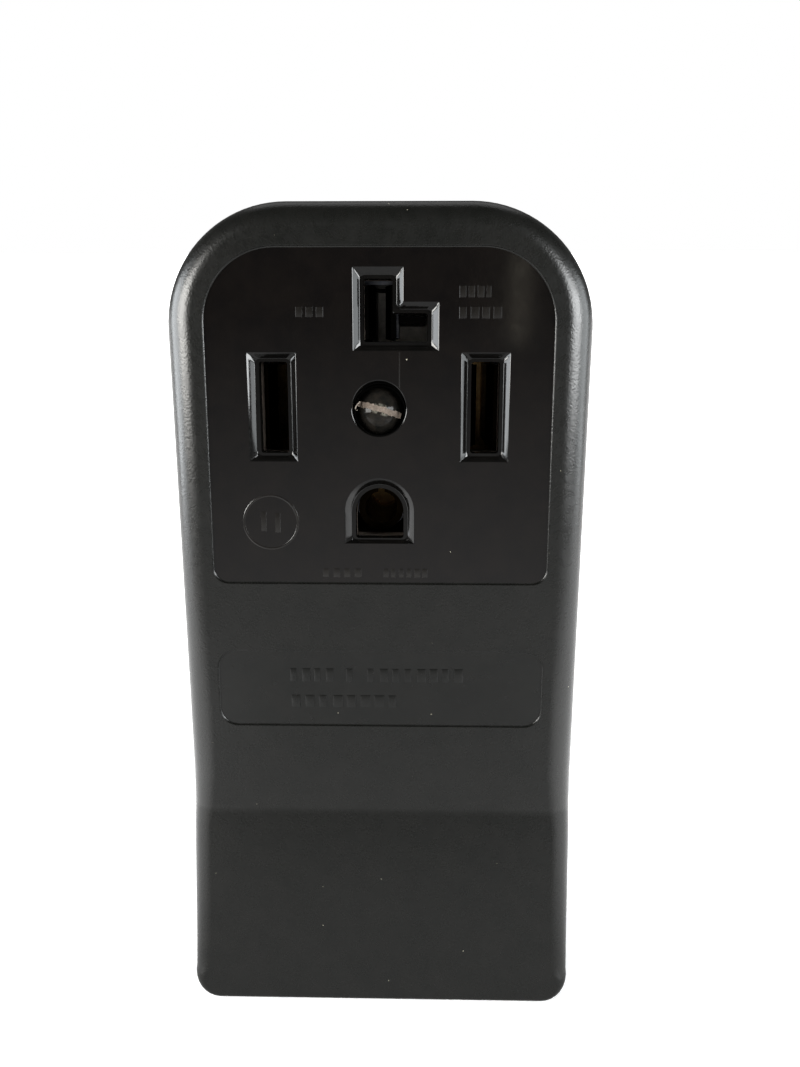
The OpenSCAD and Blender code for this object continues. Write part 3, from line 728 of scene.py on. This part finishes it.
def screw_bore(shell):
    """The hole for the screw's head and shank, and the boss behind it, from the panel to the inside."""
    panel_y, ceiling_y = plane_y(-PANEL_RECESS), plane_y(-FACE_WALL)
    seat_y = front_y(screw_z) + SEAT_BELOW_FACE
    boss_y = seat_y + BOSS_BELOW_SEAT
    rings = [circle_on(HEAD_HOLE_R + wider, lambda z, below=below: panel_y(z) + below)
             for wider, below in HOLE_LIP]
    head = [(HEAD_HOLE_R, seat_y - SEAT_CHAMFER), (HEAD_HOLE_R - SEAT_CHAMFER, seat_y)]
    shank = [(SHANK_HOLE_R, seat_y), (SHANK_HOLE_R, boss_y)]
    boss = [(BOSS_R - BOSS_CHAMFER, boss_y), (BOSS_R, boss_y - BOSS_CHAMFER)]
    rings += [circle_on(radius, lambda z, y=y: y) for radius, y in head + shank + boss]
    rings.append(circle_on(BOSS_R, ceiling_y))
    bore = [shell.ring(points) for points in rings]
    seen = len(HOLE_LIP) + len(head)
    shell.rings(bore[:seen + 1], MOUTH)
    shell.rings(bore[seen:], INSIDE)
    return bore[0], bore[-1]


def cut_notch(whole):
    """Cuts the cable's notch through the bottom wall, and returns the mesh that is left."""
    cut, loops, steps, under, past = Shell(), [], 40, 2, 3
    for z in (base_z - under, base_z + WALL + NOTCH_PAST_WALL):
        arc = [Vector((NOTCH_R * math.cos(a), -ENTRY_DEPTH + NOTCH_R * math.sin(a), z))
               for a in (math.pi + math.pi * k / steps for k in range(steps + 1))]
        loops.append(cut.ring(arc + [Vector((NOTCH_R, past, z)), Vector((-NOTCH_R, past, z))]))
    cut.rings(loops)
    for loop in loops:
        cut.face(loop, 0)
    cutter = cut.build("notch_cutter", [casing])
    boolean = whole.modifiers.new("notch", "BOOLEAN")
    boolean.object, boolean.solver = cutter, "EXACT"
    bpy.context.view_layer.update()
    mesh = bpy.data.meshes.new_from_object(whole.evaluated_get(bpy.context.evaluated_depsgraph_get()))
    bpy.data.objects.remove(whole)
    bpy.data.objects.remove(cutter)
    return mesh


def build_cover():
    """The whole cover as one closed shell: outside, recesses, slots, screw hole and inside."""
    shell = Shell()
    outer_rim, outer_face = skin(shell, perimeter(0, TOP_R, LOW_R), 0, edge_round, OUTER_SIDES, 12, CASING)
    panel_edge, panel_floor = recess(shell, PANEL_BOX, CASING, PANEL_RECESS)
    label_edge, label_floor = recess(shell, LABEL_BOX, CASING, LABEL_RECESS)
    shell.fill([outer_face, panel_edge, label_edge], face_flat, CASING)
    shell.fill([label_floor], face_flat, LABEL)
    holes, ceiling_holes = [], []
    for hole, rim in SLOTS.values():
        rings = slot_rings(shell, hole, rim)
        shell.rings(rings, MOUTH)
        holes.append(rings[0])
        ceiling_holes.append(rings[-1])
    bore_front, bore_back = screw_bore(shell)
    shell.fill([panel_floor, *holes, bore_front], face_flat, GLOSS)

    inner = perimeter(WALL, TOP_R - WALL, INNER_LOW_R)
    lift = FACE_WALL / math.cos(slant)
    inner_rim, inner_face = skin(shell, inner, lift, inner_edge_round, INNER_SIDES, 4, INSIDE)
    shell.loft(outer_rim, inner_rim, CASING)
    shell.fill([inner_face, *ceiling_holes, bore_back], face_flat, INSIDE)

    mesh = cut_notch(shell.build("cover_shell", [casing, gloss, label_face, mouth, inside]))
    front = Vector((0, -1, 0))
    return finish_mesh("cover_shell", mesh, planes=(face_normal, front, -face_normal, -front))


cover = build_cover()
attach(cover, "cover")
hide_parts("cover")

# ---- Small raised marks on the panel, as plain bars and a plain ring ----


def raised_bar(shell, u0, v0, u1, v1, w, height, soft=0.1):
    """A low bar standing on the plane at w."""
    loops = []
    for grow, lift in ((0.0, -0.05), (0.0, 0.0), (-0.35 * soft, 0.7 * height), (-soft, height)):
        loops.append(shell.ring([on_face(u, v, w + lift) for u, v in
                                 ((u0 - grow, v0 - grow), (u1 + grow, v0 - grow), (u1 + grow, v1 + grow),
                                  (u0 - grow, v1 + grow))]))
    shell.rings(loops)
    shell.face(loops[-1], 0)
    shell.face(loops[0], 0)


def bar_row(shell, u0, u1, v0, v1, count, w, height):
    """A row of plain upright bars of random width."""
    pitch = (u1 - u0) / count
    for k in range(count):
        left = u0 + pitch * k
        raised_bar(shell, left, v0, left + pitch * random.uniform(0.5, 0.75), v1, w, height)


# Rows of bars on the panel and on the label: start, end, low, high, number of bars
PANEL_ROWS = ((-11.9, -7.5, 76.9, 78.3, 3), (11.5, 16.6, 79.6, 81.2, 4), (11.5, 18.0, 76.7, 78.3, 4),
              (-8.6, -2.2, 38.5, 39.9, 4), (0.6, 7.6, 38.5, 39.9, 6))
LABEL_ROWS = ((-14.0, -6.6, 21.7, 23.9, 4), (-5.3, -3.4, 21.7, 23.9, 1), (-2.0, 13.4, 21.7, 23.9, 8),
              (-13.9, 3.4, 17.5, 19.5, 8))
# A faint knit line from the L-shaped slot down to the screw: left, low, right, high
KNIT_LINE = (2.92, 66.9, 3.04, 72.05)
MARK_HEIGHT, LABEL_MARK_HEIGHT, KNIT_HEIGHT, KNIT_SOFT = 0.06, 0.1, 0.02, 0.03
# The ring: its centre, its section as radius and height, and the two bars in it, from its centre
RING_MIDDLE = Vector((-16.3, 47.0))
RING_PROFILE = ((4.22, -0.05), (4.22, 0.0), (4.15, 0.035), (3.95, 0.035), (3.88, 0.0), (3.88, -0.05))
RING_BARS = ((-1.5, -1.4, -0.7, 1.6), (0.6, -1.6, 1.4, 1.4))


def build_marks():
    """Plain bars and a ring where the photographed part has lettering and an approval mark."""
    panel, centre = -PANEL_RECESS, RING_MIDDLE
    marks, label_marks = Shell(), Shell()
    for *row, count in PANEL_ROWS:
        bar_row(marks, *row, count, panel, MARK_HEIGHT)
    for *row, count in LABEL_ROWS:
        bar_row(label_marks, *row, count, -LABEL_RECESS, LABEL_MARK_HEIGHT)
    raised_bar(marks, *KNIT_LINE, panel, KNIT_HEIGHT, KNIT_SOFT)
    steps, loops = 72, []
    for radius, lift in RING_PROFILE:
        angles = [2 * math.pi * k / steps for k in range(steps)]
        flat = [(centre.x + radius * math.cos(a), centre.y + radius * math.sin(a)) for a in angles]
        loops.append(marks.ring([on_face(u, v, panel + lift) for u, v in flat]))
    marks.rings(loops + [loops[0]])
    for left, low, right, high in RING_BARS:
        raised_bar(marks, centre.x + left, centre.y + low, centre.x + right, centre.y + high,
                   panel, MARK_HEIGHT)
    for name, shell, finish in (("panel_marks", marks, mark), ("label_marks", label_marks, label_face)):
        obj = shell.build(name, [finish])
        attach(obj, "cover")


build_marks()

# ---- Dust packed into the cover screw's slot ----

FIBRE = ((-3.0, 0.3), (-3.3, 0.0), (-3.5, -0.45), (-3.48, -0.85), (-3.25, -1.05), (-3.05, -0.85))


def dome_drop(t, s):
    """How far the screw's domed head lies behind its top, t along and s across the driver slot."""
    return DOME_R - math.sqrt(max(0.1, DOME_R**2 - t * t - s * s))


def on_head(t, s, y):
    """A point at depth y, t along and s across the driver slot."""
    x = t * math.cos(DRIVER_TILT) + s * math.sin(DRIVER_TILT)
    z = -t * math.sin(DRIVER_TILT) + s * math.cos(DRIVER_TILT)
    return Vector((x, y, screw_z + z))


def add_fibre(shell, front, thick=0.085, sides=6):
    """A short fibre curled over the head at the slot's left end."""
    loops = []
    for i, (t, s) in enumerate(FIBRE):
        before, after = FIBRE[max(i - 1, 0)], FIBRE[min(i + 1, len(FIBRE) - 1)]
        ahead = Vector((after[0] - before[0], after[1] - before[1])).normalized()
        middle = front + 0.5 * dome_drop(t, s)
        ring = []
        for k in range(sides):
            a = 2 * math.pi * k / sides
            wide, high = thick * math.cos(a), thick * math.sin(a)
            ring.append(on_head(t - ahead.y * wide, s + ahead.x * wide, middle - high))
        loops.append(shell.ring(ring))
    shell.rings(loops, 1)
    shell.face(tuple(reversed(loops[0])), 1)
    shell.face(tuple(loops[-1]), 1)


# The bar of dust: its half size, and how far behind the front of the head it starts, its top may
# lie and its floor lies
HALF_LONG, HALF_WIDE, THINNEST = 3.3, 0.5, 0.1
FRONT_GAP, LOWEST_TOP, FLOOR_DEPTH = 0.05, 1.35, 1.43


def build_slot_fill():
    """A crumbly bar lying in the driver slot, and a fibre curled at its left end."""
    shell, across, along = Shell(), 10, 40
    front = screw_low.y + FRONT_GAP
    tops, floors = [], []
    for i in range(along + 1):
        t = mix(-HALF_LONG, HALF_LONG, i / along)
        pull = 1 - 0.25 * (abs(t) / HALF_LONG) ** 6
        top, floor = [], []
        for j in range(across + 1):
            s = mix(-HALF_WIDE, HALF_WIDE, j / across) * pull
            rough = 0.10 * math.sin(5.1 * t + 3 * s) * math.sin(2.3 * t) + random.uniform(-0.05, 0.05)
            y = min(front + dome_drop(t, s) * 0.98 - 0.04 + rough, screw_low.y + LOWEST_TOP + rough)
            top.append(on_head(t, s, y))
            floor.append(on_head(t, s, max(y + THINNEST, screw_low.y + FLOOR_DEPTH)))
        tops.append(shell.ring(top))
        floors.append(shell.ring(floor))
    for i in range(along):
        for j in range(across):
            shell.face((tops[i][j], tops[i + 1][j], tops[i + 1][j + 1], tops[i][j + 1]), 0)
            shell.face((floors[i][j], floors[i][j + 1], floors[i + 1][j + 1], floors[i + 1][j]), 0)
    for i in range(along):
        shell.face((tops[i][0], floors[i][0], floors[i + 1][0], tops[i + 1][0]), 0)
        shell.face((tops[i][-1], tops[i + 1][-1], floors[i + 1][-1], floors[i][-1]), 0)
    for j in range(across):
        shell.face((tops[0][j], tops[0][j + 1], floors[0][j + 1], floors[0][j]), 0)
        shell.face((tops[-1][j], floors[-1][j], floors[-1][j + 1], tops[-1][j + 1]), 0)
    add_fibre(shell, front)
    obj = shell.build("slot_dust", [slot_fill, fibre_dust])
    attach(obj, "cover_screw")


build_slot_fill()

# ---- Finishes of the parts that come from the model ----

EDGE_BREAK, EDGE_ANGLE = 0.12, 40  # millimetres, and the smallest bend in degrees


def finish_nodes():
    """Gives every node the finish of its slot, and breaks its sharp edges a little."""
    for name, obj in frame["nodes"].items():
        if name == "cover":
            continue
        for material_slot in obj.material_slots:
            known = material_slot.material.name.split(".")[0] if material_slot.material else ""
            if known in FINISHES:
                material_slot.material = FINISHES[known]
        bevel = obj.modifiers.new("edge", "BEVEL")
        bevel.width = EDGE_BREAK * MM
        bevel.segments = 2
        bevel.limit_method = "ANGLE"
        bevel.angle_limit = math.radians(EDGE_ANGLE)
        bevel.use_clamp_overlap = True
        bevel.harden_normals = False


finish_nodes()

# ---- Floor, backdrop and light ----

PAPER_TONE, PAPER_GLOW, FAR_GLOW, PAPER_ROUGH = (0.9, 0.9, 0.9), 0.45, 1.1, 0.9
# For every ray but the camera's: a darker paper, its glow under the part, the share of that left in
# front of the part, and what is added beside it
DIM_TONE, BOUNCE, AHEAD_SHARE, SIDE_GLOW = (0.22, 0.22, 0.22), 0.42, 0.45, 1.2
# Where those change, in millimetres
FAR_REACH, DEPTH_REACH, SIDE_REACH = (130, 260), (-125, -75), (36, 80)
WHITE = (1, 1, 1, 1)


def paper(name):
    """White paper that the camera sees evenly lit and the part reflects weakly."""
    m, nodes, links, shader, vector = node_material(name)
    fine = noise(nodes, links, vector, 0.02, 2.0)
    tone = blend_colour(nodes, links, fine, PAPER_TONE, tuple(c * 0.97 for c in PAPER_TONE))
    links.new(tone, shader.inputs["Base Color"])
    shader.inputs["Roughness"].default_value = PAPER_ROUGH
    shader.inputs["Specular IOR Level"].default_value = 0.1
    shader.inputs["Emission Color"].default_value = WHITE
    away = nodes.new("ShaderNodeVectorMath")
    away.operation = "LENGTH"
    links.new(vector, away.inputs[0])
    glow = spread(nodes, links, away.outputs["Value"], *FAR_REACH, PAPER_GLOW, FAR_GLOW)
    links.new(glow, shader.inputs["Emission Strength"])
    dim = nodes.new("ShaderNodeBsdfPrincipled")
    dim.inputs["Base Color"].default_value = (*DIM_TONE, 1)
    dim.inputs["Roughness"].default_value = PAPER_ROUGH
    dim.inputs["Emission Color"].default_value = WHITE
    place = split_axes(nodes, links, vector)
    beside = arithmetic(nodes, links, "ABSOLUTE", place["X"])
    below = spread(nodes, links, place["Y"], *DEPTH_REACH, BOUNCE * AHEAD_SHARE, BOUNCE)
    at_side = spread(nodes, links, beside, *SIDE_REACH, 0.0, SIDE_GLOW)
    links.new(arithmetic(nodes, links, "ADD", below, at_side), dim.inputs["Emission Strength"])
    rays, choose = nodes.new("ShaderNodeLightPath"), nodes.new("ShaderNodeMixShader")
    links.new(rays.outputs["Is Camera Ray"], choose.inputs[0])
    links.new(dim.outputs[0], choose.inputs[1])
    links.new(shader.outputs[0], choose.inputs[2])
    links.new(choose.outputs[0], next(n for n in nodes if n.type == "OUTPUT_MATERIAL").inputs[0])
    return m


# The sweep, in metres: half its width, how far it goes back, its bend and its height, then the flat
# floor's rows from front to back, and its gap under the part
FLOOR_HALF, FLOOR_BACK, BEND_R, BACK_HIGH = 0.9, 0.42, 0.12, 0.25
FLOOR_ROWS, FLOOR_GAP = (-0.13, -0.06, 0.0, 0.15), 0.0002


def build_stage():
    """A floor that bends up behind the part."""
    floor_z, steps = cad_low.z - FLOOR_GAP, 12
    profile = [(y, floor_z) for y in FLOOR_ROWS]
    for k in range(steps + 1):
        a = math.pi / 2 * k / steps
        profile.append((FLOOR_BACK - BEND_R + BEND_R * math.sin(a), floor_z + BEND_R * (1 - math.cos(a))))
    profile.append((FLOOR_BACK, floor_z + BACK_HIGH))
    points = [Vector((x, y, z)) for y, z in profile for x in (-FLOOR_HALF, FLOOR_HALF)]
    mesh = bpy.data.meshes.new("floor")
    mesh.from_pydata(points, [], [(2 * i, 2 * i + 1, 2 * i + 3, 2 * i + 2) for i in range(len(profile) - 1)])
    for polygon in mesh.polygons:
        polygon.use_smooth = True
    mesh.materials.append(paper("floor_paper"))
    floor = bpy.data.objects.new("floor", mesh)
    bpy.context.scene.collection.objects.link(floor)


build_stage()


def area_light(name, place, target, size_x, size_y, power, colour=(1, 1, 1)):
    data = bpy.data.lights.new(name, "AREA")
    data.shape, data.size, data.size_y = "RECTANGLE", size_x, size_y
    data.energy, data.color = power, colour
    obj = bpy.data.objects.new(name, data)
    bpy.context.scene.collection.objects.link(obj)
    obj.location = place
    obj.rotation_euler = (Vector(target) - Vector(place)).to_track_quat("-Z", "Y").to_euler()
    obj.visible_camera = False


def side_light(name, side, front, high, width, tall, radiance, colour, away=0.4):
    """A softbox on one side, front degrees forward of that side."""
    target = Vector((side * 0.03, -0.045, 0.02))
    a = math.radians(front)
    place = target + Vector((side * math.cos(a), -math.sin(a), 0)) * away + Vector((0, 0, high))
    area_light(name, place, target, width, tall, radiance * math.pi * width * tall, colour)


side_light("soft_left_front", -1, 38, 0.03, 0.22, 0.17, 20.5, (1.0, 0.985, 0.95))
side_light("soft_left_side", -1, 2, 0.06, 0.26, 0.26, 9.0, (0.93, 0.97, 1.0))
side_light("soft_right_front", 1, 42, 0.03, 0.24, 0.17, 18.5, (0.97, 0.99, 1.0))
side_light("soft_right_side", 1, 4, 0.06, 0.26, 0.26, 5.0, (0.93, 0.98, 1.0))
area_light("soft_top", (0.0, 0.1, 0.6), (0, -0.02, 0.0), 0.5, 0.35, 0.35)
area_light("warm_strip", (0.060, -0.396, 0.003), (0.020, -0.050, 0.038), 0.005, 0.05, 0.0011, (1, 0.93, 0.75))

# The room that every ray but the camera's meets: dim, and brighter behind and below. Each is a range
# of the ray's direction and the strength at its two ends.
ROOM_DIM = 0.055
ROOM_BEHIND = (-0.1, 0.6, ROOM_DIM, 1.1)
ROOM_ABOVE = (0.03, 0.3, 1.0, 0.12)
ROOM_BELOW = (-0.12, -0.65, ROOM_DIM, 0.95)


def build_world():
    """Plain white for the camera, and the dim room for every other ray."""
    world = bpy.data.worlds.new("studio")
    bpy.context.scene.world = world
    world.use_nodes = True
    nodes, links = world.node_tree.nodes, world.node_tree.links
    nodes.clear()
    out = nodes.new("ShaderNodeOutputWorld")
    seen, lit = nodes.new("ShaderNodeBackground"), nodes.new("ShaderNodeBackground")
    rays, choose = nodes.new("ShaderNodeLightPath"), nodes.new("ShaderNodeMixShader")
    ray = split_axes(nodes, links, nodes.new("ShaderNodeTexCoord").outputs["Generated"])
    behind = spread(nodes, links, ray["Y"], *ROOM_BEHIND)
    above = spread(nodes, links, ray["Z"], *ROOM_ABOVE)
    below = spread(nodes, links, ray["Z"], *ROOM_BELOW)
    faded = arithmetic(nodes, links, "MULTIPLY", behind, above)
    links.new(arithmetic(nodes, links, "MAXIMUM", faded, below), lit.inputs["Strength"])
    seen.inputs["Strength"].default_value = 1.0
    seen.inputs["Color"].default_value = WHITE
    lit.inputs["Color"].default_value = WHITE
    links.new(rays.outputs["Is Camera Ray"], choose.inputs[0])
    links.new(lit.outputs[0], choose.inputs[1])
    links.new(seen.outputs[0], choose.inputs[2])
    links.new(choose.outputs[0], out.inputs[0])


build_world()

# ---- Camera ----

# Found by matching the cover's corners with the photograph
CAMERA_PLACE = Vector((5.6, -172.15, 8.96)) * MM
PITCH, ROLL, YAW = (math.radians(a) for a in (2.218, 1.127, 0.277))
SENSOR, LENS, CLIP_START = 36, 28.8674789, 0.005

turn = Matrix.Rotation(YAW, 3, "Z") @ Matrix.Rotation(ROLL, 3, "Y") @ Matrix.Rotation(PITCH, 3, "X")
look = (turn @ Matrix(((1, 0, 0), (0, 0, -1), (0, 1, 0)))).transposed()
right, down, ahead = look.col
camera_data = bpy.data.cameras.new("camera")
camera_data.sensor_width = SENSOR
camera_data.lens = LENS
camera_data.clip_start = CLIP_START
camera = bpy.data.objects.new("camera", camera_data)
bpy.context.scene.collection.objects.link(camera)
basis = Matrix((right, -down, -ahead)).transposed().to_4x4()
basis.translation = CAMERA_PLACE
camera.matrix_world = basis
bpy.context.scene.camera = camera
bpy.context.scene.view_settings.view_transform = "Standard"
